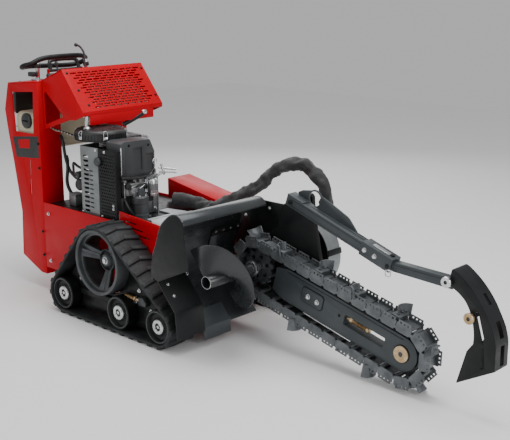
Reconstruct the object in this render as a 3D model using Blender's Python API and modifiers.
"""Tracked walk-behind trencher, modelled in metres with +X towards the digging boom and +Z up.

Shapes are drawn in machine coordinates: x = 0 at the middle road wheel, y = 0 on the centre
plane, z = 0 on the ground. Each body is an empty on its joint's axis, and the root empty moves
the whole machine so that the middle of its footprint is the origin.
"""

import math

import bmesh
import bpy
from mathutils import Matrix, Vector

NAME = "trencher"
GAP = 0.0003
SHEET = 0.004

# Tracks and wheels
TRACK_OUT = 0.43
TRACK_WIDTH = 0.15
WHEEL_RADIUS = 0.075
BELT_GAP = 0.002
BELT_THICK = 0.011
LUG_HEIGHT = 0.0095
LUG_COUNT = 34
REAR_WHEEL_X = -0.3994
MIDDLE_WHEEL_X = 0.0
FRONT_WHEEL_X = 0.2625
SPROCKET_X = -0.133
SPROCKET_Z = 0.30
SPROCKET_RADIUS = 0.15
FRAME_THICK = 0.018
AXLE_RADIUS = 0.022
AXLE_CLEARANCE = 0.002
WHEEL_Z = WHEEL_RADIUS + BELT_GAP + BELT_THICK + LUG_HEIGHT
TRACK_IN = TRACK_OUT - TRACK_WIDTH
TRACK_MID = TRACK_OUT - TRACK_WIDTH / 2

# Chassis
SIDE_Y = 0.27
SIDE_THICK = 0.006
DECK_Z = 0.44
FLOOR_Z = 0.12
BULKHEAD_X = 0.2355
MOTOR_RADIUS = 0.052

# Control tower
TOWER_FRONT_X = -0.74
COLUMN_WIDTH = 0.125
TOWER_TOP_Z = 1.038
TOWER_FOOT_Z = 0.083
TOWER_REAR_X = -0.990
TOWER_REAR_Z = 1.015
CONSOLE_LIFT = SHEET + 2 * GAP
TANK_LOW_Z = 0.70
TANK_HIGH_Z = 0.882

# Hood
HOOD_TOP_X = -0.577
HOOD_TOP_Z = 1.107
HOOD_LOW_X = -0.423
HOOD_LOW_Z = 0.92
HOOD_HALF = 0.243

# Trencher head and boom
HEAD_X = 0.515
HEAD_Z = 0.34
HEAD_SHAFT_RADIUS = 0.02
SHIELD_X = 0.50
SHIELD_Z = 0.335
SHIELD_RADIUS = 0.257
SHIELD_THICK = 0.006
SHIELD_END_Y = 0.06
WING_END_Y = -TRACK_IN + 0.012
WING_LINE = ((0.262, 0.330), (0.276, 0.305), (0.380, 0.190), (0.392, 0.075))
AUGER_RADIUS = 0.15
AUGER_TUBE_RADIUS = 0.026
AUGER_OUT_Y = -0.374
AUGER_IN_Y = -0.12
BOOM_Y = -0.052
BOOM_LENGTH = 0.770
BOOM_SLOPE = math.radians(13.8)
BAR_HALF_WIDTH = 0.026
BAR_HALF_HEIGHT = 0.070
CHAIN_HALF_WIDTH = 0.042
CHAIN_INNER = 0.085
CHAIN_OUTER = 0.130
TOOTH_TIP = 0.166
TOOTH_COUNT = 12
TOOTH_PHASE = 0.45
PLATE_Y = 0.015
PLATE_THICK = 0.02
CRANK_RADIUS = 0.10
CRANK_ANGLE = math.radians(150)
SUPPORT_Y = 0.085
LEFT_SUPPORT_Y = 0.255

# Crumber
CRUMBER_X = 0.70
CRUMBER_Z = 0.652
CRUMBER_SLOPE = math.radians(18.3)
NOSE_X = HEAD_X + BOOM_LENGTH * math.cos(BOOM_SLOPE)
NOSE_Z = HEAD_Z - BOOM_LENGTH * math.sin(BOOM_SLOPE)
ELBOW_BEHIND_NOSE = 0.0624262
ARM_LENGTH = (NOSE_X - ELBOW_BEHIND_NOSE - CRUMBER_X) / math.cos(CRUMBER_SLOPE)
ARM_SIZE = 0.045
BAR_SIZE = 0.033
SHOE_HALF_WIDTH = 0.045
SHOE_WALL = 0.006

# Controls
TRACTION_HALF = 0.100
BOOM_LEVER_HALF = 0.012
THROTTLE_HALF = 0.010

# Cylinder
LIFT_Y = 0.060
LIFT_X = 0.350
LIFT_Z = 0.170

RED = (0.58, 0.010, 0.022)
BLACK = (0.012, 0.012, 0.013)
CHARCOAL = (0.045, 0.050, 0.053)
STEEL = (0.42, 0.42, 0.41)

CAP_X = -0.852
CAP_Z = 0.842
CLEANER = (-0.423, -0.145, 0.79)
VENT_COUNT = 13
VENT_PITCH = 0.0225
PAD_VIEW = (
    (-1.040, 0.850),
    (-1.0305, 0.985),
    (-1.048, 0.985),
    (-1.068, 0.940),
    (-1.062, 0.862),
)

bodies = {}


def clear_scene():
    for obj in list(bpy.data.objects):
        bpy.data.objects.remove(obj, do_unlink=True)


def collection(name):
    made = bpy.data.collections.new(name)
    bpy.context.scene.collection.children.link(made)
    return made


def add_body(name, at, parent=None):
    """An empty at a joint's axis, in machine coordinates, that carries a body's pieces."""
    empty = bpy.data.objects.new(name, None)
    PARTS.objects.link(empty)
    if parent:
        empty.parent = bodies[parent][0]
        empty.location = Vector(at) - bodies[parent][1]
    bodies[name] = (empty, Vector(at))


def paint(name, colour, roughness, metallic):
    material = bpy.data.materials.new(name)
    material.use_nodes = True
    shader = material.node_tree.nodes["Principled BSDF"]
    shader.inputs["Base Color"].default_value = (*colour, 1)
    shader.inputs["Roughness"].default_value = roughness
    shader.inputs["Metallic"].default_value = metallic
    return material


def turn_to(axis):
    """The rotation that takes +Z to an axis."""
    return Vector((0, 0, 1)).rotation_difference(Vector(axis)).to_matrix().to_4x4()


def box(low, high):
    bm = bmesh.new()
    bmesh.ops.create_cube(bm, size=1)
    low = Vector(low)
    size = Vector(high) - low
    for vert in bm.verts:
        vert.co = low + Vector((vert.co[i] + 0.5) * size[i] for i in range(3))
    return bm


def rod(start, end, radius, segments=16, end_radius=None):
    """A cylinder or cone between two points."""
    start = Vector(start)
    along = Vector(end) - start
    bm = bmesh.new()
    bmesh.ops.create_cone(
        bm,
        cap_ends=True,
        segments=segments,
        radius1=radius,
        radius2=radius if end_radius is None else end_radius,
        depth=along.length,
    )
    place = Matrix.Translation(start + along / 2) @ turn_to(along)
    bmesh.ops.transform(bm, matrix=place, verts=bm.verts)
    return bm


def evaluated(obj):
    """A temporary object's evaluated mesh as a welded bmesh; the object is removed."""
    PARTS.objects.link(obj)
    graph = bpy.context.evaluated_depsgraph_get()
    mesh = bpy.data.meshes.new_from_object(obj.evaluated_get(graph))
    bm = bmesh.new()
    bm.from_mesh(mesh)
    bmesh.ops.remove_doubles(bm, verts=bm.verts, dist=0.00002)
    bpy.data.meshes.remove(mesh)
    bpy.data.objects.remove(obj)
    return bm


def poly_curve(loops, dimensions, cyclic):
    curve = bpy.data.curves.new("outline", "CURVE")
    curve.dimensions = dimensions
    for loop in loops:
        spline = curve.splines.new("POLY")
        spline.points.add(len(loop) - 1)
        for point, place in zip(spline.points, loop):
            point.co = (*place, *(0,) * (3 - len(place)), 1)
        spline.use_cyclic_u = cyclic
    return curve


def plate(loops, start, end, plane="XZ"):
    """A flat outline with holes, extruded from start to end along the plane's normal."""
    curve = poly_curve(loops, "2D", True)
    curve.fill_mode = "BOTH"
    curve.extrude = abs(end - start) / 2
    bm = evaluated(bpy.data.objects.new("outline", curve))
    turn = {
        "XZ": Matrix.Rotation(math.pi / 2, 4, "X"),
        "XY": Matrix.Identity(4),
        "YZ": Matrix(((0, 0, 1, 0), (1, 0, 0, 0), (0, 1, 0, 0), (0, 0, 0, 1))),
    }[plane]
    normal = {"XZ": (0, 1, 0), "XY": (0, 0, 1), "YZ": (1, 0, 0)}[plane]
    place = Matrix.Translation(Vector(normal) * (start + end) / 2) @ turn
    bmesh.ops.transform(bm, matrix=place, verts=bm.verts)
    bmesh.ops.recalc_face_normals(bm, faces=bm.faces)
    return bm


def sheet(path, start, end, thick, plane="XZ"):
    """An open path extruded into a bent sheet. Its thickness is on the path's left side."""
    mesh = bpy.data.meshes.new("sheet")
    bm = bmesh.new()
    flat = [bm.verts.new(spread(p, start, plane)) for p in path]
    edges = [bm.edges.new(pair) for pair in zip(flat, flat[1:])]
    side = bmesh.ops.extrude_edge_only(bm, edges=edges)["geom"]
    moved = [item for item in side if isinstance(item, bmesh.types.BMVert)]
    step = Vector(spread((0, 0), end, plane)) - Vector(spread((0, 0), start, plane))
    bmesh.ops.translate(bm, verts=moved, vec=step)
    bm.to_mesh(mesh)
    bm.free()
    obj = bpy.data.objects.new("sheet", mesh)
    wall = obj.modifiers.new("wall", "SOLIDIFY")
    wall.thickness = thick
    wall.offset = 1
    wall.use_even_offset = True
    bm = evaluated(obj)
    bmesh.ops.recalc_face_normals(bm, faces=bm.faces)
    return bm


def spread(point, depth, plane):
    if plane == "XZ":
        return (point[0], depth, point[1])
    if plane == "XY":
        return (point[0], point[1], depth)
    return (depth, point[0], point[1])


def turned(profile, centre, axis, steps=20):
    """A profile of (radius, height) turned round an axis. It runs down from the top."""
    mesh = bpy.data.meshes.new("profile")
    points = [(radius, 0, height) for radius, height in profile]
    mesh.from_pydata(points, [(i, i + 1) for i in range(len(points) - 1)], [])
    obj = bpy.data.objects.new("profile", mesh)
    screw = obj.modifiers.new("turn", "SCREW")
    screw.steps = steps
    screw.render_steps = steps
    screw.use_merge_vertices = True
    screw.merge_threshold = 0.0001
    bm = evaluated(obj)
    place = Matrix.Translation(Vector(centre)) @ turn_to(axis)
    bmesh.ops.transform(bm, matrix=place, verts=bm.verts)
    bmesh.ops.recalc_face_normals(bm, faces=bm.faces)
    return bm


def tube(points, radius, resolution=2):
    curve = poly_curve([points], "3D", False)
    curve.bevel_depth = radius
    curve.bevel_resolution = resolution
    curve.use_fill_caps = True
    bm = evaluated(bpy.data.objects.new("tube", curve))
    bmesh.ops.recalc_face_normals(bm, faces=bm.faces)
    return bm


def smooth_route(points, count):
    """Points of one smooth curve through the given ones (Catmull-Rom), evenly shared out."""
    places = [Vector(p) for p in points]
    places = [2 * places[0] - places[1], *places, 2 * places[-1] - places[-2]]
    route = []
    spans = len(points) - 1
    for k in range(count + 1):
        span = min(int(k * spans / count), spans - 1)
        t = k * spans / count - span
        a, b, c, d = places[span : span + 4]
        route.append(
            0.5
            * (
                2 * b
                + (c - a) * t
                + (2 * a - 5 * b + 4 * c - d) * t**2
                + (3 * b - a - 3 * c + d) * t**3
            )
        )
    return route


def turned_about(bm, pivot, angle):
    """Tilts a shape drawn level so that its +X end drops by an angle."""
    spin = Matrix.Translation(Vector(pivot)) @ Matrix.Rotation(angle, 4, "Y")
    bmesh.ops.transform(
        bm, matrix=spin @ Matrix.Translation(-Vector(pivot)), verts=bm.verts
    )
    return bm


def mirrored(bm):
    bmesh.ops.scale(bm, vec=(1, -1, 1), verts=bm.verts)
    bmesh.ops.reverse_faces(bm, faces=bm.faces)
    return bm


def as_object(name, bm, body, home):
    empty, pivot = bodies[body]
    bmesh.ops.translate(bm, verts=bm.verts, vec=-pivot)
    mesh = bpy.data.meshes.new(name)
    bm.to_mesh(mesh)
    bm.free()
    obj = bpy.data.objects.new(name, mesh)
    home.objects.link(obj)
    obj.parent = empty
    return obj


def solid(name, body, finish, shapes, cuts=(), bevel=0):
    """One piece: the union of its shapes, less its cuts."""
    obj = as_object(name, shapes[0], body, PARTS)
    obj.data.materials.append(finish)
    obj.data.shade_smooth()
    obj.data.set_sharp_from_angle(angle=math.radians(35))
    if bevel:
        edge = obj.modifiers.new("edge", "BEVEL")
        edge.width = bevel
        edge.segments = 1
        edge.limit_method = "ANGLE"
    for kind, others in (("UNION", shapes[1:]), ("DIFFERENCE", cuts)):
        for i, other in enumerate(others):
            helper = as_object(f"{name}_{kind.lower()}_{i}", other, body, CUTTERS)
            helper.hide_render = True
            helper.display_type = "WIRE"
            joined = obj.modifiers.new(kind.lower(), "BOOLEAN")
            joined.operation = kind
            joined.object = helper
    return obj


def circle(x, z, radius, count=24, start=0.0, turn=2 * math.pi):
    """Points of a circle, or of an arc with both its ends."""
    last = count if turn >= 2 * math.pi - 1e-6 else count - 1
    return [
        (
            x + radius * math.cos(start + turn * i / last),
            z + radius * math.sin(start + turn * i / last),
        )
        for i in range(count)
    ]


def slot(x, z, length, width, tilt=0.0):
    """A rectangle about a centre, turned by an angle."""
    cos, sin = math.cos(tilt), math.sin(tilt)
    corners = ((-1, -1), (1, -1), (1, 1), (-1, 1))
    return [
        (
            x + cos * a * length / 2 - sin * b * width / 2,
            z + sin * a * length / 2 + cos * b * width / 2,
        )
        for a, b in corners
    ]


def belt_loop(offset, step=math.radians(14)):
    """The outline of a band round the three track circles, at an offset from them."""
    rounds = [
        (REAR_WHEEL_X, WHEEL_Z, WHEEL_RADIUS + offset),
        (FRONT_WHEEL_X, WHEEL_Z, WHEEL_RADIUS + offset),
        (SPROCKET_X, SPROCKET_Z, SPROCKET_RADIUS + offset),
    ]
    normals = []
    for (x1, z1, r1), (x2, z2, r2) in zip(rounds, rounds[1:] + rounds[:1]):
        reach = math.hypot(x2 - x1, z2 - z1)
        along = math.atan2(z2 - z1, x2 - x1)
        normals.append(along - math.acos((r1 - r2) / reach))
    points = []
    for i, (x, z, radius) in enumerate(rounds):
        start = normals[i - 1]
        sweep = (normals[i] - start) % (2 * math.pi)
        count = max(3, math.ceil(sweep / step) + 1)
        points += circle(x, z, radius, count, start, sweep)
    return points


def along_loop(points, share):
    """The point at a share of a closed outline's length, and the outward direction there."""
    loop = [Vector(p) for p in points]
    loop.append(loop[0])
    spans = [(b - a).length for a, b in zip(loop, loop[1:])]
    left = (share % 1) * sum(spans)
    for a, b, span in zip(loop, loop[1:], spans):
        if left <= span and span > 0:
            along = (b - a) / span
            return a + along * left, Vector((along.y, -along.x))
        left -= span
    return loop[0], Vector((0, -1))


def lugged_loop(points, count, height, shape):
    """An outline with a bump of the given shape repeated round it."""
    made = []
    for k in range(count):
        for part, rise in shape:
            place, out = along_loop(points, (k + part) / count)
            made.append(tuple(place + out * height * rise))
    return made


def side_pair():
    """Each side's name and the sign of its y."""
    return (("right", -1), ("left", 1))


def on_side(bm, sign):
    """A shape drawn for the right side, mirrored for the left."""
    return bm if sign < 0 else mirrored(bm)


# Joints, as bodies ----------------------------------------------------------------------------


def make_bodies():
    add_body("root", (0, 0, 0))
    for side, sign in side_pair():
        y = sign * TRACK_MID
        add_body(f"{side}_sprocket", (SPROCKET_X, y, SPROCKET_Z), "root")
        for place, x in wheel_places():
            add_body(f"{side}_{place}_wheel", (x, y, WHEEL_Z), "root")
    add_body("headshaft", (HEAD_X, 0, HEAD_Z), "root")
    add_body("boom", (HEAD_X, BOOM_Y, HEAD_Z), "root")
    add_body("nose", boom_point(BOOM_LENGTH, 0), "boom")
    add_body("crumber", (CRUMBER_X, BOOM_Y, CRUMBER_Z), "boom")
    add_body("crumber_bar", arm_point(ARM_LENGTH, 0), "crumber")
    add_body("cylinder", (LIFT_X, LIFT_Y, LIFT_Z), "root")
    add_body("piston", (LIFT_X, LIFT_Y, LIFT_Z), "cylinder")
    add_body("traction", traction_pivot(), "root")
    add_body("boom_control", boom_lever_pivot(), "root")
    add_body("throttle", throttle_pivot(), "root")
    add_body("cap", (CAP_X, -0.25, CAP_Z), "root")


def wheel_places():
    return (
        ("rear", REAR_WHEEL_X),
        ("middle", MIDDLE_WHEEL_X),
        ("front", FRONT_WHEEL_X),
    )


def boom_point(along, up, y=BOOM_Y):
    cos, sin = math.cos(BOOM_SLOPE), math.sin(BOOM_SLOPE)
    return (HEAD_X + along * cos + up * sin, y, HEAD_Z - along * sin + up * cos)


def arm_point(along, up, y=BOOM_Y):
    cos, sin = math.cos(CRUMBER_SLOPE), math.sin(CRUMBER_SLOPE)
    return (CRUMBER_X + along * cos + up * sin, y, CRUMBER_Z - along * sin + up * cos)


def traction_pivot():
    return (-0.93, 0.035, 1.066)


def boom_lever_pivot():
    return (-0.80, 0.063, 1.062)


def throttle_pivot():
    return (-0.80, -0.10, 1.060)


# Tracks ---------------------------------------------------------------------------------------


def make_tracks(rubber, cast, wheel_black, frame_black):
    base = belt_loop(BELT_GAP + BELT_THICK)
    bump = ((0.0, 0), (0.08, 1), (0.52, 1), (0.60, 0))
    outer = lugged_loop(base, LUG_COUNT, LUG_HEIGHT, bump)
    for side, sign in side_pair():
        belt = plate([outer, belt_loop(BELT_GAP)], -TRACK_OUT, -TRACK_IN)
        solid(f"{side}_track_belt", "root", rubber, [on_side(belt, sign)])
        make_sprocket(side, sign, cast)
        make_track_frame(side, sign, frame_black)
        for place, x in wheel_places():
            body = f"{side}_{place}_wheel"
            wheel = turned(wheel_profile(), (x, sign * TRACK_MID, WHEEL_Z), (0, sign, 0), 18)
            solid(f"{side}_{place}_road_wheel", body, wheel_black, [wheel])


def wheel_profile():
    """The outer wheel, the axle through the track frame and the inner wheel, from the outside in."""
    half = TRACK_WIDTH / 2 - 0.008
    inset = FRAME_THICK / 2 + 0.005
    return (
        (0, half - 0.002),
        (0.020, half - 0.002),
        (0.034, half - 0.008),
        (0.036, half - 0.016),
        (0.062, half - 0.016),
        (0.067, half),
        (WHEEL_RADIUS, half),
        (WHEEL_RADIUS, inset),
        (AXLE_RADIUS, inset),
        (AXLE_RADIUS, -inset),
        (WHEEL_RADIUS, -inset),
        (WHEEL_RADIUS, -half),
        (0, -half),
    )


def make_sprocket(side, sign, cast):
    rim_in = SPROCKET_RADIUS - 0.024
    hub = 0.047
    windows = []
    for k in range(3):
        start = math.radians(58 + 120 * k)
        sweep = math.radians(88)
        arc_out = circle(SPROCKET_X, SPROCKET_Z, rim_in, 10, start, sweep)
        inner = circle(SPROCKET_X, SPROCKET_Z, hub, 6, start + 0.14, sweep - 0.28)
        windows.append(arc_out + inner[::-1])
    disc_edge = circle(SPROCKET_X, SPROCKET_Z, SPROCKET_RADIUS - 0.008, 36)
    disc_y = -TRACK_OUT + 0.022
    disc = plate([disc_edge, *windows], disc_y, disc_y + 0.018)
    ring = plate(
        [
            circle(SPROCKET_X, SPROCKET_Z, SPROCKET_RADIUS, 36),
            circle(SPROCKET_X, SPROCKET_Z, SPROCKET_RADIUS - 0.016, 36),
        ],
        -TRACK_OUT + 0.004,
        -TRACK_IN - 0.020,
    )
    centre = (SPROCKET_X, -TRACK_OUT + 0.034, SPROCKET_Z)
    hub_shape = rod(centre, (SPROCKET_X, -0.335, SPROCKET_Z), hub - 0.002, 20)
    shaft = rod(
        (SPROCKET_X, -0.34, SPROCKET_Z), (SPROCKET_X, -0.290, SPROCKET_Z), 0.016, 12
    )
    shapes = [on_side(s, sign) for s in (ring, disc, hub_shape, shaft)]
    solid(f"{side}_drive_sprocket", f"{side}_sprocket", cast, shapes)


def make_track_frame(side, sign, black):
    middle = -TRACK_MID
    web = plate([belt_loop(-0.014)], middle - FRAME_THICK / 2, middle + FRAME_THICK / 2)
    axis = ((SPROCKET_X, -TRACK_OUT, SPROCKET_Z), (SPROCKET_X, -TRACK_IN, SPROCKET_Z))
    cuts = [rod(*axis, SPROCKET_RADIUS + 0.006, 32)]
    for _, x in wheel_places():
        ends = ((x, -TRACK_OUT, WHEEL_Z), (x, -TRACK_IN, WHEEL_Z))
        cuts.append(rod(*ends, AXLE_RADIUS + AXLE_CLEARANCE, 18))
    shapes = [web]
    for x in (-0.225, 0.130):
        low = (x - 0.022, middle, WHEEL_Z - 0.012)
        shapes.append(box(low, (x + 0.022, -SIDE_Y - GAP, WHEEL_Z + 0.030)))
    rail = box(
        (REAR_WHEEL_X + 0.09, middle - 0.028, WHEEL_Z + 0.012),
        (-0.095, middle, WHEEL_Z + 0.038),
    )
    shapes.append(rail)
    solid(
        f"{side}_track_frame",
        "root",
        black,
        [on_side(s, sign) for s in shapes],
        [on_side(c, sign) for c in cuts],
    )


# Chassis --------------------------------------------------------------------------------------


def make_chassis(red, black, grey):
    rear = TOWER_FRONT_X + GAP
    outline = [
        (rear, FLOOR_Z),
        (BULKHEAD_X, FLOOR_Z),
        (BULKHEAD_X, 0.478),
        (-0.153, 0.504),
        (-0.153, 0.452),
        (rear, 0.452),
    ]
    port = circle(SPROCKET_X, SPROCKET_Z, MOTOR_RADIUS + 0.001, 20)
    slots = [slot(-0.075 + 0.042 * i, 0.464 - 0.026 * i, 0.080, 0.008, -0.05) for i in range(3)]
    right = plate([outline, port, *slots], -SIDE_Y, -SIDE_Y + SIDE_THICK)
    solid("right_side_plate", "root", red, [right])
    low_side = [*outline[:2], (BULKHEAD_X, 0.436), (0.10, 0.452), outline[-1]]
    left = plate([low_side, port], -SIDE_Y, -SIDE_Y + SIDE_THICK)
    solid("left_side_plate", "root", red, [mirrored(left)])
    inner = SIDE_Y - SIDE_THICK - GAP
    front = BULKHEAD_X - SIDE_THICK - GAP
    floor = box((rear, -inner, FLOOR_Z), (front, inner, FLOOR_Z + SIDE_THICK))
    solid("floor_pan", "root", red, [floor])
    deck = box((rear, -inner, DECK_Z - SIDE_THICK), (-0.13, inner, DECK_Z))
    foot = FLOOR_Z + SIDE_THICK + GAP
    web = box((-0.136, -inner, foot), (-0.13, inner, DECK_Z - SIDE_THICK / 2))
    solid("engine_deck", "root", black, [deck, web], [motor_room(s) for s in (-1, 1)])
    bulkhead = box((BULKHEAD_X - SIDE_THICK, -inner, FLOOR_Z), (BULKHEAD_X, inner, 0.470))
    ear = box(
        (BULKHEAD_X - 0.002, LIFT_Y + 0.0168, LIFT_Z - 0.02),
        (LIFT_X + 0.016, LIFT_Y + 0.0238, LIFT_Z + 0.02),
    )
    pin = rod((LIFT_X, LIFT_Y - 0.012, LIFT_Z), (LIFT_X, LIFT_Y + 0.020, LIFT_Z), 0.008, 12)
    solid("front_bulkhead", "root", red, [bulkhead, ear, pin])
    tank = box((-0.105, -0.17, 0.26), (0.2285, 0.13, 0.452))
    solid("hydraulic_tank", "root", grey, [tank], bevel=0.02)
    for side, sign in side_pair():
        body = rod(wheel_axis(-0.322), wheel_axis(-0.18), MOTOR_RADIUS, 20)
        flange = rod(wheel_axis(-0.2805), wheel_axis(-SIDE_Y - GAP), 0.066, 20)
        bore = rod(wheel_axis(-0.33), wheel_axis(-0.285), 0.0175, 12)
        shapes = [on_side(s, sign) for s in (body, flange)]
        solid(f"{side}_wheel_motor", "root", black, shapes, [on_side(bore, sign)])


def wheel_axis(y):
    """A point on the drive sprockets' shared axis."""
    return (SPROCKET_X, y, SPROCKET_Z)


def motor_room(sign):
    """Room in the engine deck's web for a wheel motor."""
    return rod(wheel_axis(sign * 0.15), wheel_axis(sign * 0.30), MOTOR_RADIUS + 0.012, 16)


def make_fender(red):
    """A sloped cover: a box inside the side plate, and a top that reaches over the track."""
    inner = SIDE_Y - SIDE_THICK - 0.002
    side_view = [
        (-0.365, 0.4525),
        (-0.1300, 0.4525),
        (-0.1225, 0.40),
        (0.229, 0.40),
        (0.229, 0.452),
        (-0.365, 0.553),
    ]
    case = plate([side_view], 0.215, inner)
    top_view = [(-0.365, 0.545), (0.229, 0.444), (0.229, 0.452), (-0.365, 0.553)]
    top = plate([top_view], 0.24, 0.363)
    rib_view = [(-0.365, 0.523), (0.229, 0.422), (0.229, 0.446), (-0.365, 0.547)]
    rib = plate([rib_view], 0.357, 0.363)
    solid("left_fender_box", "root", red, [case, top, rib])


# Control tower --------------------------------------------------------------------------------


def column_outline():
    """Side view of a tower column, which leans back towards the operator."""
    return [
        (TOWER_FRONT_X, TOWER_FOOT_Z),
        (TOWER_FRONT_X, TOWER_TOP_Z),
        (TOWER_REAR_X, TOWER_REAR_Z),
        (-1.028, 0.884),
        (-1.009, 0.771),
        (-0.978, 0.633),
        (-0.930, 0.376),
        (-0.942, 0.148),
        (-0.787, TOWER_FOOT_Z),
    ]


def make_tower(red, black):
    """Two columns with a window in the right one, the console across them and the knee pad."""
    window = [(-0.957, 0.975), (-0.779, 0.990), (-0.792, 0.784), (-0.943, 0.782)]
    vents = [slot(-0.836, 0.61, 0.006, 0.075), slot(-0.839, 0.515, 0.006, 0.075)]
    rear_room = [
        (TOWER_FRONT_X - SHEET, TOWER_FOOT_Z + SHEET),
        (TOWER_FRONT_X - SHEET, TOWER_TOP_Z - SHEET),
        (TOWER_REAR_X, TOWER_REAR_Z - SHEET),
        (-1.060, 0.884),
        (-1.030, 0.600),
        (-0.960, 0.376),
        (-0.975, 0.148 + SHEET),
        (-0.787, TOWER_FOOT_Z + SHEET),
    ]
    for side, sign in side_pair():
        edge = -SIDE_Y + COLUMN_WIDTH
        body = plate([column_outline()], -SIDE_Y, edge)
        room = plate([rear_room], -SIDE_Y + SHEET, edge + 0.02)
        cuts = [room]
        if sign < 0:
            cuts.append(plate([window], -SIDE_Y - 0.01, -SIDE_Y + 0.02))
            cuts += [plate([v], -SIDE_Y - 0.01, -SIDE_Y + 0.02) for v in vents]
        cuts = [on_side(c, sign) for c in cuts]
        solid(f"{side}_tower_column", "root", red, [on_side(body, sign)], cuts)
    path = [
        (TOWER_REAR_X, TOWER_REAR_Z + CONSOLE_LIFT),
        (TOWER_FRONT_X - 0.0005, TOWER_TOP_Z + CONSOLE_LIFT),
    ]
    top = sheet(path, -SIDE_Y, SIDE_Y, SHEET)
    housing = box((-0.955, -0.135, 0.90), (-0.765, 0.135, 1.022))
    ears = [
        clevis(traction_pivot(), TRACTION_HALF),
        clevis(boom_lever_pivot(), BOOM_LEVER_HALF),
        clevis(throttle_pivot(), THROTTLE_HALF),
    ]
    solid("control_console", "root", red, [top, housing, *ears])
    pad = plate([PAD_VIEW], -0.20, 0.20)
    solid("rear_knee_pad", "root", black, [pad], bevel=0.004)


def make_fuel(cream, black):
    """The fuel tank across the tower and its screw cap."""
    tank = box((-0.962, -0.255, TANK_LOW_Z), (-0.772, 0.255, TANK_HIGH_Z))
    neck = rod((CAP_X, -0.259, CAP_Z), (CAP_X, -0.240, CAP_Z), 0.020, 14)
    solid("fuel_tank", "root", cream, [tank, neck], bevel=0.022)
    cap = turned(
        (
            (0, 0.012),
            (0.030, 0.012),
            (0.038, 0.008),
            (0.038, -0.004),
            (0.0215, -0.004),
            (0.0215, 0.002),
            (0, 0.002),
        ),
        (CAP_X, -0.2615, CAP_Z),
        (0, -1, 0),
        18,
    )
    solid("fuel_cap", "cap", black, [cap])


def make_hood(red, metal):
    """A sloped roof on two cheeks, a lip under its front edge, and the cooler behind its window."""
    low = (HOOD_LOW_X, HOOD_LOW_Z - 0.015)
    path = [(-0.7385, 1.0440), (HOOD_TOP_X, HOOD_TOP_Z), (HOOD_LOW_X, HOOD_LOW_Z), low]
    roof = sheet(path, -HOOD_HALF, HOOD_HALF, SHEET)
    shapes = [roof]
    for sign in (-1, 1):
        cheek = plate(
            [
                [
                    (-0.7385, 0.807),
                    (-0.53, 0.875),
                    (-0.484, 0.879),
                    (HOOD_LOW_X - 0.0012, HOOD_LOW_Z - 0.018),
                    (HOOD_LOW_X - 0.0012, HOOD_LOW_Z - 0.002),
                    (HOOD_TOP_X + 0.001, HOOD_TOP_Z - 0.002),
                    (-0.7385, 1.0425),
                ],
                [(-0.722, 0.985), (-0.722, 0.838), (-0.575, 0.886)],
            ],
            -HOOD_HALF + 0.0005,
            -HOOD_HALF + 0.0045,
        )
        shapes.append(on_side(cheek, sign))
    lip_view = [
        (-0.203, HOOD_LOW_Z - 0.008),
        (-0.194, 0.857),
        (0.067, 0.857),
        (0.184, HOOD_LOW_Z - 0.008),
    ]
    lip = plate(
        [lip_view],
        HOOD_LOW_X - 0.0045,
        HOOD_LOW_X - 0.0005,
        "YZ",
    )
    shapes.append(lip)
    solid("hood", "root", red, shapes, [grille_cut()])
    core = on_roof(box((-0.080, -0.13, -0.048), (0.098, 0.175, -0.018)))
    solid("oil_cooler", "root", metal, [core])


def on_roof(shape):
    """A shape drawn level, laid on the middle of the hood's sloped roof."""
    slope = math.atan2(HOOD_TOP_Z - HOOD_LOW_Z, HOOD_LOW_X - HOOD_TOP_X)
    middle = Vector(((HOOD_TOP_X + HOOD_LOW_X) / 2, 0, (HOOD_TOP_Z + HOOD_LOW_Z) / 2))
    place = Matrix.Translation(middle) @ Matrix.Rotation(slope, 4, "Y")
    bmesh.ops.transform(shape, matrix=place, verts=shape.verts)
    return shape


def grille_cut():
    """The window over the oil cooler, cut square through the sloped panel."""
    return on_roof(box((-0.070, -0.115, -0.012), (0.085, 0.160, 0.020)))


# Engine ---------------------------------------------------------------------------------------


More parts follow.
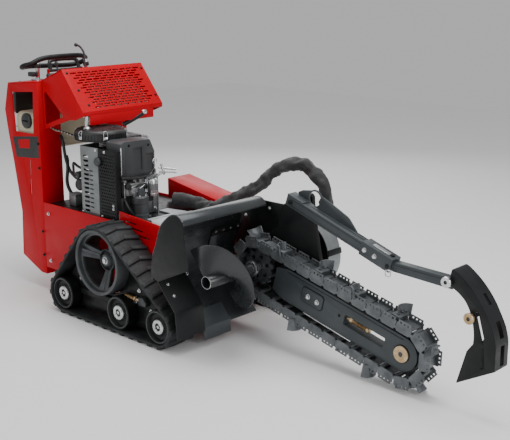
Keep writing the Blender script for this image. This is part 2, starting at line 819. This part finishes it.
def make_engine(black, grey, metal):
    """The engine's castings, covers, exhaust, filter and pump, all standing on the deck."""
    floor = DECK_Z + GAP
    crankcase = box((-0.53, -0.122, floor), (-0.315, 0.112, 0.632))
    front_case = box((-0.33, -0.122, floor), (-0.215, 0.028, 0.632))
    rear_head = box((-0.53, -0.122, 0.62), (-0.372, 0.112, 0.785))
    front_head = box((-0.378, -0.100, 0.61), (-0.302, 0.052, 0.785))
    solid("engine_block", "root", metal, [crankcase, front_case, rear_head, front_head])
    shroud_view = [
        (-0.215, 0.637),
        (-0.0125, 0.637),
        (-0.0125, 0.745),
        (-0.040, 0.805),
        (-0.215, 0.805),
    ]
    shroud = plate([shroud_view], -0.298, -0.196, "YZ")
    x, y, z = CLEANER
    room = rod((x, y, z - 0.004), (x, y, z + 0.03), 0.129, 24)
    solid("engine_shroud", "root", grey, [shroud], [room])
    cleaner = turned(
        (
            (0, 0.056),
            (0.100, 0.056),
            (0.122, 0.046),
            (0.125, 0.030),
            (0.125, 0.004),
            (0.105, 0.0),
            (0, 0.0),
        ),
        (x, y, z),
        (0, 0, 1),
        24,
    )
    solid("air_cleaner", "root", black, [cleaner])
    muffler = rod((-0.378, -0.192, 0.455), (-0.378, -0.192, 0.755), 0.046, 18)
    outlet = rod((-0.335, -0.200, 0.707), (-0.315, -0.262, 0.707), 0.016, 12)
    elbow = rod((-0.378, -0.192, 0.707), (-0.330, -0.205, 0.707), 0.018, 12)
    stay = box((-0.386, -0.15, 0.56), (-0.370, -0.1225, 0.60))
    solid("muffler", "root", black, [muffler, elbow, outlet, stay])
    guard_line = [(-0.455, -0.135), (-0.455, -0.25), (-0.19, -0.25), (-0.19, -0.224)]
    guard = sheet(guard_line, floor, 0.768, 0.003, "XY")
    hole = rod((-0.315, -0.27, 0.707), (-0.315, -0.23, 0.707), 0.022, 14)
    vents = []
    for i in range(VENT_COUNT):
        low = 0.47 + VENT_PITCH * i
        vents.append(box((-0.438, -0.26, low), (-0.402, -0.24, low + 0.010)))
    solid("muffler_guard", "root", grey, [guard], [hole, *vents])
    oil_filter = turned(
        ((0, 0.082), (0.022, 0.082), (0.027, 0.076), (0.027, 0.004), (0.018, 0.0), (0, 0.0)),
        (-0.182, -0.045, 0.535),
        (0, 0, 1),
        14,
    )
    neck = box((-0.2147, -0.055, 0.545), (-0.195, -0.035, 0.575))
    solid("oil_filter", "root", metal, [oil_filter, neck])
    pump = rod((-0.165, -0.135, floor), (-0.165, -0.135, 0.56), 0.040, 16)
    pump_top = box((-0.2147, -0.155, 0.50), (-0.140, -0.122, 0.585))
    solid("hydraulic_pump", "root", metal, [pump, pump_top])


# Controls -------------------------------------------------------------------------------------


def make_controls(black):
    """The reference bar on its posts, and the three levers that stand in clevises."""
    loop = [
        (-0.905, -0.185, 1.110),
        (-0.935, -0.205, 1.100),
        (-0.975, -0.190, 1.088),
        (-1.000, -0.120, 1.088),
        (-1.000, 0.080, 1.080),
        (-0.985, 0.150, 1.085),
        (-0.940, 0.165, 1.105),
        (-0.905, 0.140, 1.128),
        (-0.895, 0.060, 1.137),
        (-0.895, -0.110, 1.134),
    ]
    ring = smooth_route(loop + loop[:1], 30)
    bar = tube_ring(ring, 0.0125)
    post_right = rod((-0.905, -0.150, 1.030), (-0.900, -0.150, 1.130), 0.011, 10)
    post_left = rod((-0.915, 0.162, 1.030), (-0.915, 0.153, 1.120), 0.011, 10)
    foot = box((-0.935, -0.172, 1.022), (-0.875, -0.128, 1.042))
    foot_left = box((-0.945, 0.1415, 1.022), (-0.885, 0.185, 1.042))
    solid("handlebar", "root", black, [bar, post_right, post_left, foot, foot_left], [console_top()])
    x, y, z = traction_pivot()
    bends = ((0, 0.088, 0), (-0.012, 0.086, 0.034), (-0.018, 0.060, 0.050))
    right = [(x + dx, y - dy, z + dz) for dx, dy, dz in bends]
    left = [(x + dx, y + dy, z + dz) for dx, dy, dz in reversed(bends)]
    grip = smooth_route(right + left, 15)
    axle = rod((x, y - TRACTION_HALF, z), (x, y + TRACTION_HALF, z), 0.008, 10)
    solid("traction_bar", "traction", black, [tube(grip, 0.010), axle])
    x, y, z = boom_lever_pivot()
    bends = (
        (0, 0, 0),
        (0, 0, 0.06),
        (0, -0.004, 0.095),
        (-0.004, -0.02, 0.122),
        (-0.006, -0.042, 0.134),
    )
    stick = smooth_route([(x + dx, y + dy, z + dz) for dx, dy, dz in bends], 12)
    knob = rod((x - 0.006, y - 0.038, z + 0.132), (x - 0.008, y - 0.052, z + 0.138), 0.009, 10)
    hub = rod((x, y - BOOM_LEVER_HALF, z), (x, y + BOOM_LEVER_HALF, z), 0.009, 12)
    solid("boom_lever", "boom_control", black, [tube(stick, 0.0055), knob, hub])
    x, y, z = throttle_pivot()
    stem = rod((x, y, z), (x - 0.012, y, z + 0.045), 0.004, 8)
    ball = rod((x - 0.010, y, z + 0.040), (x - 0.016, y, z + 0.062), 0.009, 10)
    hub = rod((x, y - THROTTLE_HALF, z), (x, y + THROTTLE_HALF, z), 0.008, 12)
    solid("throttle_lever", "throttle", black, [stem, ball, hub])


def console_height(x):
    """The top of the console's sloped cover at a distance along the machine."""
    slope = (TOWER_TOP_Z - TOWER_REAR_Z) / (TOWER_FRONT_X - TOWER_REAR_X)
    return TOWER_REAR_Z + (x - TOWER_REAR_X) * slope + CONSOLE_LIFT


def clevis(pivot, half):
    """Two ears, one at each end of a lever's hub, standing on the console."""
    x, y, z = pivot
    wide = half + GAP
    outer = (
        (y - wide - 0.005, console_height(x) - 0.003),
        (y + wide + 0.005, console_height(x) - 0.003),
        (y + wide + 0.005, z + 0.008),
        (y + wide, z + 0.008),
        (y + wide, z - 0.015),
        (y - wide, z - 0.015),
        (y - wide, z + 0.008),
        (y - wide - 0.005, z + 0.008),
    )
    return plate([outer], x - 0.010, x + 0.010, "YZ")


def console_top():
    """Everything below the console's sloped top, with the gap that touching pieces keep."""
    front = console_height(-0.73) + GAP
    rear = console_height(-1.0) + GAP
    return plate([[(-1.0, 0.95), (-0.73, 0.95), (-0.73, front), (-1.0, rear)]], -0.28, 0.28)


def tube_ring(points, radius):
    """A closed tube through points whose first and last are the same."""
    curve = poly_curve([points[:-1]], "3D", True)
    curve.bevel_depth = radius
    curve.bevel_resolution = 2
    bm = evaluated(bpy.data.objects.new("ring", curve))
    bmesh.ops.recalc_face_normals(bm, faces=bm.faces)
    return bm


# Trencher head --------------------------------------------------------------------------------


def shield_path():
    """The spoil shield's outer line, from its rolled front lip over the back to its foot."""
    back = shield_arc(SHIELD_RADIUS, 9, 150, 75)
    return [
        (0.447, 0.572),
        (0.430, 0.597),
        (0.400, 0.610),
        (0.352, 0.592),
        (0.308, 0.546),
        *back,
        (0.382, 0.075),
    ]


def shield_arc(radius, count, start, sweep):
    """Points on a circle about the shield's axis, between two angles in degrees."""
    return circle(SHIELD_X, SHIELD_Z, radius, count, math.radians(start), math.radians(sweep))


def make_shield(dark, black, rubber):
    """The curved hull with its end plate and wing, the liner behind the chain and the scraper."""
    near = -TRACK_OUT + 0.003
    hull = sheet(shield_path(), near, SHIELD_END_Y, SHIELD_THICK)
    wing = sheet(WING_LINE, near, WING_END_Y, SHIELD_THICK)
    rear_edge = [p for p in shield_path()[1:] if p[1] > 0.31]
    end_view = rear_edge + [(0.285, 0.305), (0.472, 0.394), (0.446, 0.520)]
    end = plate([end_view[::-1]], -TRACK_OUT, near + 0.001)
    solid("spoil_shield", "root", dark, [hull, end, wing], [track_room()])
    band = shield_arc(SHIELD_RADIUS - SHIELD_THICK - 0.001, 8, 152, 50)
    liner = sheet(band, -0.19, SHIELD_END_Y - 0.002, 0.003)
    solid("shield_liner", "root", rubber, [liner])
    foot = shield_path()[-1]
    knee = shield_path()[-2]
    slope = Vector((foot[0] - knee[0], foot[1] - knee[1])).normalized()
    out = Vector((-slope.y, slope.x)) * (SHIELD_THICK + 0.0065)
    top = Vector(knee) + slope * 0.012 + out
    low = Vector(foot) + out - slope * 0.004
    blade = sheet([tuple(top), tuple(low), (low.x + 0.004, 0.030)], WING_END_Y + GAP, -0.110, 0.005)
    solid("scraper_plate", "root", black, [blade])


def track_room():
    """The notch behind the wing, where the shield's outer end passes in front of the track."""
    low_view = [
        (0.20, 0.0),
        (0.372, 0.0),
        (0.372, 0.192),
        (0.270, 0.305),
        (0.20, 0.305),
    ]
    return plate([low_view], -TRACK_OUT - 0.01, -TRACK_IN + 0.006)


def head_axis(y):
    """A point on the head shaft's axis."""
    return (HEAD_X, y, HEAD_Z)


def make_head(black, dark, steel, cast):
    """The housing that carries the boom, the hydraulic motor, the shaft and the auger."""
    inner_view = [
        (BULKHEAD_X + GAP, 0.15),
        (0.44, 0.21),
        (0.56, 0.25),
        (0.605, 0.34),
        (0.60, 0.50),
        (0.575, 0.585),
        (0.37, 0.585),
        (BULKHEAD_X + GAP, 0.54),
    ]
    inner_plate = plate([inner_view], SUPPORT_Y, SUPPORT_Y + 0.008)
    rim = circle(HEAD_X, HEAD_Z, 0.152, 22, math.radians(-100), math.radians(210))
    outer_view = [*rim, (BULKHEAD_X + GAP, 0.46), (BULKHEAD_X + GAP, 0.18)]
    outer_plate = plate([outer_view], LEFT_SUPPORT_Y, LEFT_SUPPORT_Y + 0.008)
    barrel = rod(head_axis(PLATE_Y - 0.003), head_axis(LEFT_SUPPORT_Y + 0.004), 0.045, 24)
    bore = rod(head_axis(0.0), head_axis(0.30), HEAD_SHAFT_RADIUS + 0.001, 16)
    solid("head_housing", "root", black, [barrel, inner_plate, outer_plate], [bore])
    arc = circle(HEAD_X, HEAD_Z, 0.158, 10, math.radians(-38), math.radians(104))
    guard = sheet(arc[::-1], 0.205, 0.290, 0.005)
    solid("left_spoil_guard", "root", cast, [guard])
    face = LEFT_SUPPORT_Y + 0.008 + GAP
    flange = rod(head_axis(face), head_axis(face + 0.014), 0.062, 20)
    case = rod(head_axis(face + 0.010), head_axis(0.405), 0.043, 18)
    nose = rod(head_axis(0.400), head_axis(0.4295), 0.040, 18, 0.034)
    port = box((HEAD_X - 0.040, 0.345, HEAD_Z + 0.030), (HEAD_X + 0.040, 0.395, HEAD_Z + 0.062))
    solid("trencher_motor", "root", black, [case, flange, nose, port])
    shaft = rod(head_axis(AUGER_IN_Y - 0.10), head_axis(0.262), HEAD_SHAFT_RADIUS, 16)
    collar = rod(head_axis(AUGER_IN_Y + 0.006), head_axis(-0.1), 0.034, 16)
    solid("head_shaft", "headshaft", steel, [shaft, collar])
    bore = HEAD_SHAFT_RADIUS + 0.0006
    make_sprocket_disc("head_sprocket", "headshaft", (HEAD_X, HEAD_Z), bore, steel)
    make_auger(dark)


def make_sprocket_disc(name, body, centre, bore, finish):
    """A toothed wheel that fits inside the digging chain's loop."""
    x, z = centre
    teeth = []
    count = 12
    for k in range(count):
        for part, radius in ((0.0, 0.068), (0.25, 0.080), (0.5, 0.080), (0.75, 0.068)):
            angle = 2 * math.pi * (k + part) / count
            teeth.append((x + radius * math.cos(angle), z + radius * math.sin(angle)))
    disc = plate([teeth, circle(x, z, bore, 16)], BOOM_Y - 0.009, BOOM_Y + 0.009)
    solid(name, body, finish, [disc])


def make_auger(dark):
    """A tube over the shaft's end and one flight, a blade swept along a helix."""
    outer = rod(head_axis(AUGER_OUT_Y), head_axis(AUGER_IN_Y), AUGER_TUBE_RADIUS, 20)
    bore_radius = HEAD_SHAFT_RADIUS + 0.001
    bore = rod(head_axis(AUGER_OUT_Y - 0.01), head_axis(AUGER_IN_Y + 0.01), bore_radius, 16)
    thick = 0.006
    flight = bmesh.new()
    corners = [
        flight.verts.new((AUGER_TUBE_RADIUS - 0.004, y, 0)) for y in (0, thick)
    ] + [flight.verts.new((AUGER_RADIUS, y, 0)) for y in (thick, 0)]
    face = flight.faces.new(corners)
    travel = AUGER_IN_Y - AUGER_OUT_Y - 0.03
    sweep = math.radians(255)
    steps = 20
    bmesh.ops.spin(
        flight,
        geom=[face, *face.edges, *face.verts],
        cent=(0, 0, 0),
        axis=(0, 1, 0),
        dvec=(0, travel / steps, 0),
        angle=sweep,
        steps=steps,
        use_duplicate=False,
    )
    place = Matrix.Translation((HEAD_X, AUGER_OUT_Y + 0.002, HEAD_Z)) @ Matrix.Rotation(
        math.radians(-128), 4, "Y"
    )
    bmesh.ops.transform(flight, matrix=place, verts=flight.verts)
    bmesh.ops.recalc_face_normals(flight, faces=flight.faces)
    solid("spoil_auger", "headshaft", dark, [outer, flight], [bore])


HOSE_ROUTE = (
    (-0.205, 0.110, 0.489),
    (-0.135, 0.148, 0.487),
    (-0.060, 0.172, 0.468),
    (0.015, 0.172, 0.472),
    (0.082, 0.175, 0.508),
    (0.150, 0.207, 0.546),
    (0.218, 0.250, 0.592),
    (0.252, 0.288, 0.640),
    (0.310, 0.315, 0.688),
    (0.420, 0.345, 0.705),
    (0.510, 0.360, 0.630),
    (0.532, 0.368, 0.520),
    (0.520, 0.371, 0.4078),
)
HOSE_RADIUS = 0.034


def make_hose(black):
    route = smooth_route(HOSE_ROUTE, 27)
    solid("hose_bundle", "root", black, [tube(route, HOSE_RADIUS, 2)])


# Boom -----------------------------------------------------------------------------------------


def crank_point(y):
    """A point on the axis of the pin that the lift cylinder pushes."""
    x = HEAD_X + CRANK_RADIUS * math.cos(CRANK_ANGLE)
    z = HEAD_Z + CRANK_RADIUS * math.sin(CRANK_ANGLE)
    return (x, y, z)


def level(point):
    """A point given as distance along the boom and height above it, before the boom is tilted."""
    return (HEAD_X + point[0], HEAD_Z + point[1])


def rectangle(start, end, half):
    """Corners of a rectangle lying evenly about the boom's line."""
    return [(start, -half), (end, -half), (end, half), (start, half)]


def boom_plate(loops, start, end):
    """A plate from outlines drawn along the boom, turned to the boom's slope."""
    shape = plate([[level(p) for p in loop] for loop in loops], start, end)
    return turned_about(shape, (HEAD_X, 0, HEAD_Z), BOOM_SLOPE)


def make_boom(dark, steel, cast, brass):
    """The tilted bar with its mounting plate, the nose roller and pin, and the chain tensioner."""
    nose = circle(BOOM_LENGTH, 0, BAR_HALF_HEIGHT, 12, -math.pi / 2, math.pi)
    start = 0.105
    bar_view = [(start, -0.052), *nose, (start, 0.052)]
    window = slot(0.585, 0.0, 0.200, 0.042)
    bar = boom_plate([bar_view, window], BOOM_Y - BAR_HALF_WIDTH, BOOM_Y + BAR_HALF_WIDTH)
    fork_view = rectangle(BOOM_LENGTH - 0.094, BOOM_LENGTH + 0.12, 0.11)
    fork = boom_plate([fork_view], BOOM_Y - 0.0115, BOOM_Y + 0.0115)
    spacer = boom_plate([rectangle(0.14, 0.36, 0.045)], BOOM_Y, PLATE_Y + 0.01)
    bracket = boom_plate([slot(0.317, 0.009, 0.110, 0.062)], BOOM_Y - BAR_HALF_WIDTH - 0.006, BOOM_Y)
    pin = rod(
        boom_point(BOOM_LENGTH, 0, BOOM_Y - BAR_HALF_WIDTH - 0.004),
        boom_point(BOOM_LENGTH, 0, BOOM_Y + BAR_HALF_WIDTH + 0.004),
        0.012,
        12,
    )
    washer = rod(
        boom_point(BOOM_LENGTH, 0, BOOM_Y - BAR_HALF_WIDTH - 0.008),
        boom_point(BOOM_LENGTH, 0, BOOM_Y - BAR_HALF_WIDTH + 0.002),
        0.033,
        18,
    )
    hub = circle(HEAD_X, HEAD_Z, 0.118, 14, math.radians(112), math.radians(150))
    side_view = [
        *hub,
        (0.62, 0.262),
        (0.80, 0.222),
        (0.89, 0.222),
        (0.885, 0.290),
        (0.78, 0.40),
        (0.742, 0.60),
        (CRUMBER_X + 0.030, CRUMBER_Z + 0.024),
        (CRUMBER_X - 0.020, CRUMBER_Z + 0.024),
        (0.572, 0.598),
        (0.552, 0.500),
    ]
    side = plate([side_view], PLATE_Y, PLATE_Y + PLATE_THICK)
    ring = rod((HEAD_X, PLATE_Y - 0.01, HEAD_Z), (HEAD_X, PLATE_Y + 0.05, HEAD_Z), 0.0465, 24)
    crank_pin = rod(crank_point(PLATE_Y + 0.01), crank_point(LIFT_Y + 0.018), 0.008, 12)
    crumber_pin = rod(
        (CRUMBER_X, PLATE_Y + 0.01, CRUMBER_Z),
        (CRUMBER_X, BOOM_Y - 0.028, CRUMBER_Z),
        0.010,
        12,
    )
    shapes = [bar, spacer, bracket, side, crank_pin, crumber_pin]
    solid("boom_frame", "boom", dark, shapes, [ring, fork, *nose_cuts()])
    solid("nose_pin", "boom", brass, [washer, pin])
    make_chain(cast)
    x, _, z = boom_point(BOOM_LENGTH, 0)
    disc = turned(
        (
            (0.013, 0.010),
            (0.068, 0.010),
            (0.080, 0.006),
            (0.080, -0.006),
            (0.068, -0.010),
            (0.013, -0.010),
            (0.013, 0.010),
        ),
        (x, BOOM_Y, z),
        (0, 1, 0),
        24,
    )
    solid("nose_roller", "nose", steel, [disc])
    tension = rod(boom_point(0.4853, 0), boom_point(0.590, 0), 0.008, 10)
    nut = rod(boom_point(0.500, 0), boom_point(0.515, 0), 0.014, 6)
    head = rod(boom_point(0.580, 0), boom_point(0.598, 0), 0.013, 10)
    solid("chain_tensioner", "boom", brass, [tension, nut, head])


def nose_cuts():
    """The bore for the nose pin and the seat for its washer, cut from the boom frame."""
    bore = rod(
        boom_point(BOOM_LENGTH, 0, BOOM_Y - 0.06),
        boom_point(BOOM_LENGTH, 0, BOOM_Y + 0.06),
        0.0123,
        12,
    )
    seat = rod(
        boom_point(BOOM_LENGTH, 0, BOOM_Y - BAR_HALF_WIDTH - 0.012),
        boom_point(BOOM_LENGTH, 0, BOOM_Y - BAR_HALF_WIDTH + 0.0023),
        0.0333,
        18,
    )
    return [bore, seat]


def chain_loop(radius, count=13):
    """The digging chain's line at a radius, anticlockwise, before the boom is tilted."""
    nose = circle(BOOM_LENGTH, 0, radius, count, -math.pi / 2, math.pi)
    head = circle(0, 0, radius, count, math.pi / 2, math.pi)
    return nose + head


def make_chain(cast):
    """The digging chain as one closed band, whose teeth stand out at even steps."""
    outer = chain_loop(CHAIN_OUTER)
    marks = [(k + TOOTH_PHASE) / TOOTH_COUNT for k in range(TOOTH_COUNT)]
    loop = toothed(outer, marks, TOOTH_TIP - CHAIN_OUTER)
    near = BOOM_Y - CHAIN_HALF_WIDTH
    shape = boom_plate([loop, chain_loop(CHAIN_INNER)], near, near + 2 * CHAIN_HALF_WIDTH)
    solid("digging_chain", "boom", cast, [shape])


def toothed(points, marks, rise):
    """An outline with a raked tooth at each mark, a share of its length."""
    loop = [Vector(p) for p in points]
    closed = loop + loop[:1]
    spans = [(b - a).length for a, b in zip(closed, closed[1:])]
    total = sum(spans)
    items = []
    done = 0.0
    for point, span in zip(loop, spans):
        items.append((done / total, tuple(point)))
        done += span
    half = 0.016 / total
    kept = [
        item
        for item in items
        if all(abs((item[0] - m + 0.5) % 1 - 0.5) > half * 1.3 for m in marks)
    ]
    for mark in marks:
        for shift, height in ((-1, 0), (-0.6, 1), (-0.1, 0.9), (1, 0)):
            place, out = along_loop(points, mark + shift * half)
            kept.append(((mark + shift * half) % 1, tuple(place + out * rise * height)))
    return [point for _, point in sorted(kept)]


# Crumber --------------------------------------------------------------------------------------


def make_crumber(black):
    """The crumber's arm with its sleeve and eye plate, then the bar and the shoe."""
    half = ARM_SIZE / 2
    pivot = (CRUMBER_X, 0, CRUMBER_Z)
    arm = box(
        (CRUMBER_X - 0.025, BOOM_Y - half, CRUMBER_Z - half),
        (CRUMBER_X + ARM_LENGTH, BOOM_Y + half, CRUMBER_Z + half),
    )
    sleeve = box(
        (CRUMBER_X + ARM_LENGTH - 0.150, BOOM_Y - half - 0.006, CRUMBER_Z - half - 0.006),
        (CRUMBER_X + ARM_LENGTH - 0.001, BOOM_Y + half + 0.006, CRUMBER_Z + half + 0.006),
    )
    room = BAR_SIZE / 2 + 0.0005
    bore = box(
        (CRUMBER_X + 0.22, BOOM_Y - room, CRUMBER_Z - room),
        (CRUMBER_X + ARM_LENGTH + 0.05, BOOM_Y + room, CRUMBER_Z + room),
    )
    hole = rod((CRUMBER_X, -0.2, CRUMBER_Z), (CRUMBER_X, 0.2, CRUMBER_Z), 0.0105, 12)
    eye_view = [
        (0.701, 0.684),
        (0.751, 0.701),
        (0.787, 0.708),
        (0.823, 0.698),
        (0.867, 0.668),
        (0.963, 0.622),
        (1.006, 0.571),
        (0.980, 0.545),
        (0.720, 0.632),
    ]
    eye_hole = circle(0.790, 0.672, 0.030, 16)
    eye = plate([eye_view[::-1], eye_hole], BOOM_Y + half - 0.002, BOOM_Y + half + 0.006)
    arm, sleeve, bore = [turned_about(s, pivot, CRUMBER_SLOPE) for s in (arm, sleeve, bore)]
    solid("crumber_arm", "crumber", black, [arm, sleeve, eye], [bore, hole])
    make_crumber_bar(black)
    make_shoe(black)


def make_crumber_bar(black):
    """The square bar that slides in the arm, with the bent end that carries the shoe."""
    side = BAR_SIZE / 2
    straight = box(
        (CRUMBER_X + 0.33, BOOM_Y - side, CRUMBER_Z - side),
        (CRUMBER_X + ARM_LENGTH + 0.012, BOOM_Y + side, CRUMBER_Z + side),
    )
    turned_about(straight, (CRUMBER_X, 0, CRUMBER_Z), CRUMBER_SLOPE)
    elbow = arm_point(ARM_LENGTH + 0.006, 0)
    end = from_nose(((0.1892, 0.3217),))[0]
    view = [
        (elbow[0] - 0.004, elbow[2] - 0.019),
        (end[0] + 0.010, end[1] - 0.024),
        (end[0] + 0.014, end[1] + 0.018),
        (elbow[0] + 0.002, elbow[2] + 0.019),
    ]
    bent = plate([view], BOOM_Y - 0.019, BOOM_Y + 0.019)
    solid("crumber_extension", "crumber_bar", black, [straight, bent])


SHOE_BACK = (
    (0.2047, 0.3217),
    (0.2692, 0.2777),
    (0.3032, 0.2057),
    (0.3092, 0.1297),
    (0.2852, 0.0957),
    (0.2492, -0.0363),
)
SHOE_FRONT = (
    (0.3972, 0.0487),
    (0.3992, 0.1437),
    (0.3652, 0.2257),
    (0.3312, 0.2837),
    (0.2852, 0.3357),
    (0.2152, 0.3837),
    (0.2047, 0.3637),
)
SHOE_ROOM = (
    (0.1372, -0.0563),
    (0.3912, -0.0563),
    (0.3912, 0.1417),
    (0.3572, 0.2177),
    (0.3252, 0.2737),
    (0.2822, 0.3217),
    (0.2192, 0.3657),
    (0.1372, 0.3737),
)


def from_nose(points):
    """Points given from the nose roller's axis, in machine coordinates."""
    return [(NOSE_X + x, NOSE_Z + z) for x, z in points]


def make_shoe(black):
    """A hollow shoe: two cheeks and a curved front, with two slots through the cheeks."""
    view = from_nose(SHOE_BACK + SHOE_FRONT)
    body = plate([view], BOOM_Y - SHOE_HALF_WIDTH, BOOM_Y + SHOE_HALF_WIDTH)
    inner = SHOE_HALF_WIDTH - SHOE_WALL
    room = plate([from_nose(SHOE_ROOM)], BOOM_Y - inner, BOOM_Y + inner)
    high, low = from_nose(((0.3372, 0.1887), (0.3492, 0.0787)))
    views = (slot(*high, 0.012, 0.105, math.radians(18)), slot(*low, 0.012, 0.080))
    slots = [plate([view], BOOM_Y - 0.08, BOOM_Y + 0.08) for view in views]
    solid("crumber_shoe", "crumber_bar", black, [body], [room, *slots])


# Lift cylinder --------------------------------------------------------------------------------


def make_lift(steel, black):
    """The cylinder's barrel on the bulkhead and its rod, whose eye goes round the crank pin."""
    crank = Vector(crank_point(LIFT_Y))
    base = Vector((LIFT_X, LIFT_Y, LIFT_Z))
    along = (crank - base).normalized()
    reach = (crank - base).length
    barrel = rod(base + along * 0.012, base + along * (reach - 0.052), 0.016, 14)
    foot = rod(base - Vector((0, 0.010, 0)), base + Vector((0, 0.010, 0)), 0.016, 14)
    bore = rod(base + along * 0.030, base + along * reach, 0.0095, 12)
    hole = rod(base - Vector((0, 0.03, 0)), base + Vector((0, 0.03, 0)), 0.0083, 12)
    solid("lift_cylinder", "cylinder", black, [barrel, foot], [bore, hole])
    stem = rod(base + along * 0.055, base + along * (reach - 0.018), 0.009, 12)
    eye = rod(crank - Vector((0, 0.009, 0)), crank + Vector((0, 0.009, 0)), 0.026, 18)
    open_eye = rod(crank - Vector((0, 0.02, 0)), crank + Vector((0, 0.02, 0)), 0.018, 14)
    solid("lift_rod", "piston", steel, [eye, stem], [open_eye])


# Build ----------------------------------------------------------------------------------------


def centre_footprint():
    """Moves the root so that the middle of the model's footprint is the origin."""
    bpy.context.view_layer.update()
    graph = bpy.context.evaluated_depsgraph_get()
    xs, ys = [], []
    for obj in PARTS.objects:
        if obj.type != "MESH":
            continue
        final = obj.evaluated_get(graph)
        for vert in final.data.vertices:
            place = final.matrix_world @ vert.co
            xs.append(place.x)
            ys.append(place.y)
    bodies["root"][0].location = (-(min(xs) + max(xs)) / 2, -(min(ys) + max(ys)) / 2, 0)
    bpy.context.view_layer.update()


clear_scene()
PARTS = collection(NAME)
CUTTERS = collection("cutters")
make_bodies()
red = paint("red_paint", RED, 0.3, 0.0)
black = paint("black_powder_coat", BLACK, 0.45, 0.0)
dark = paint("charcoal_enamel", CHARCOAL, 0.35, 0.1)
rubber = paint("track_rubber", (0.03, 0.032, 0.034), 0.8, 0.0)
cast = paint("cast_steel", (0.10, 0.11, 0.115), 0.5, 0.4)
steel = paint("zinc_steel", STEEL, 0.35, 0.9)
cream = paint("cream_plastic", (0.55, 0.50, 0.33), 0.5, 0.0)
light_grey = paint("light_grey_plastic", (0.48, 0.50, 0.52), 0.5, 0.0)
brass = paint("zinc_yellow", (0.50, 0.36, 0.18), 0.4, 0.8)
make_tracks(rubber, cast, black, black)
make_chassis(red, black, light_grey)
make_fender(red)
make_tower(red, black)
make_fuel(cream, black)
make_hood(red, steel)
make_engine(black, dark, steel)
make_controls(black)
make_shield(dark, black, rubber)
make_head(black, dark, steel, cast)
make_hose(black)
make_boom(dark, steel, cast, brass)
make_crumber(black)
make_lift(steel, black)
centre_footprint()
